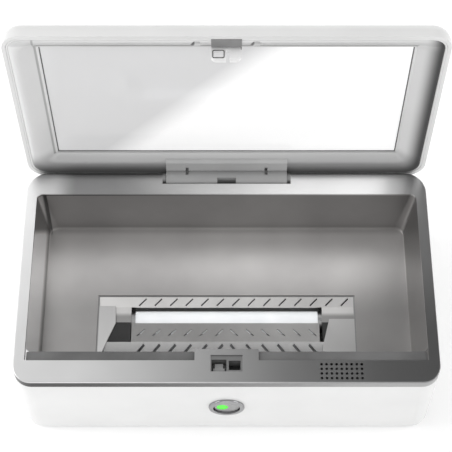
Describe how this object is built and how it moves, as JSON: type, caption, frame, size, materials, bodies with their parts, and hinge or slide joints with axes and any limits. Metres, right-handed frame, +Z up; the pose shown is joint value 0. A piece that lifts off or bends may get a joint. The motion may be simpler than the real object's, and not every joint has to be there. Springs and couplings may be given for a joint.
{
  "type": "ultraviolet cleaning box",
  "caption": "Desktop box with a hinged mirror lid, a metal-lined chamber, a lamp under a slotted guard, a sprung lid catch and a lit push button",
  "frame": {"origin": "middle of the footprint of the open object, on the table under the feet", "axes": "+X right, +Y from the front to the back, +Z up"},
  "size_m": [0.27, 0.1712, 0.2255],
  "materials": {
    "casing_white": "smooth white plastic",
    "frame_silver": "silver painted plastic",
    "liner_metal": "polished sheet",
    "tray_metal": "polished sheet",
    "guard_metal": "satin sheet",
    "cover_metal": "bright sheet",
    "black_plastic": "matt black plastic",
    "seal_grey": "soft dark grey",
    "tube_glass": "frosted tube glass",
    "lamp_cap": "satin",
    "contact_brass": "plain",
    "board_green": "laminate",
    "coil_tape": "tape wound",
    "capacitor_sleeve": "sleeve",
    "connector_white": "moulded",
    "screw_steel": "plated",
    "button_chrome": "polished",
    "button_cap": "satin",
    "lens_green": "clear green, lit",
    "spring_steel": "wire",
    "catch_grey": "light grey plastic",
    "latch_grey": "grey plastic",
    "tongue_metal": "bright steel",
    "sensor_black": "matt",
    "foot_rubber": "soft",
    "mirror_glass": "mirror",
    "backing_board": "board",
    "hinge_grey": "silver grey plastic",
    "magnet": "plated"
  },
  "bodies": {
    "base": {"base_casing": "casing_white", "base_frame": "frame_silver", "chamber_liner": "liner_metal", "light_seal": "seal_grey", "lamp_tray": "tray_metal", "lamp_guard": "guard_metal", "rear_guard": "guard_metal", "lamp_cover_left": "cover_metal", "lamp_cover_right": "cover_metal", "uv_tube": "tube_glass", "lamp_caps": "lamp_cap", "lamp_pins": "contact_brass", "lamp_sockets": "black_plastic", "control_board": "board_green", "ballast_coil": "coil_tape", "board_capacitors": "capacitor_sleeve", "board_chips": "sensor_black", "board_connectors": "connector_white", "board_screws": "screw_steel", "button_bezel": "button_chrome", "button_nut": "screw_steel", "button_switch": "black_plastic", "button_spring": "spring_steel", "catch_spring": "spring_steel", "latch_housing": "latch_grey", "lid_sensor": "sensor_black", "sounder": "sensor_black", "power_inlet": "black_plastic", "inlet_pin": "contact_brass", "rubber_feet": "foot_rubber", "casing_screws": "screw_steel", "hinge_pin": "screw_steel", "hinge_spacers": "latch_grey"},
    "lid": {"hinge_block": "hinge_grey", "lid_casing": "casing_white", "lid_frame": "frame_silver", "lid_mirror": "mirror_glass", "mirror_backing": "backing_board", "latch_plate": "latch_grey", "latch_tongue": "tongue_metal", "sensor_magnet": "magnet"},
    "button": {"power_button": "button_cap", "button_lens": "lens_green"},
    "latch_catch_body": {"latch_catch": "catch_grey"}
  },
  "joints": [
    {"name": "lid_hinge", "type": "hinge", "parent": "base", "child": "lid", "pos_m": [0, 0.068, 0.0735], "axis": [1, 0, 0], "range_deg": [0, 90]},
    {"name": "button_press", "type": "slide", "parent": "base", "child": "button", "axis": [0, 1, 0], "range_m": [0, 0.0012], "stiffness_N_per_m": 600, "deforming": ["button_spring"]},
    {"name": "catch_slide", "type": "slide", "parent": "base", "child": "latch_catch_body", "axis": [0, -1, 0], "range_m": [0, 0.0035], "stiffness_N_per_m": 200, "deforming": ["catch_spring"]}
  ]
}
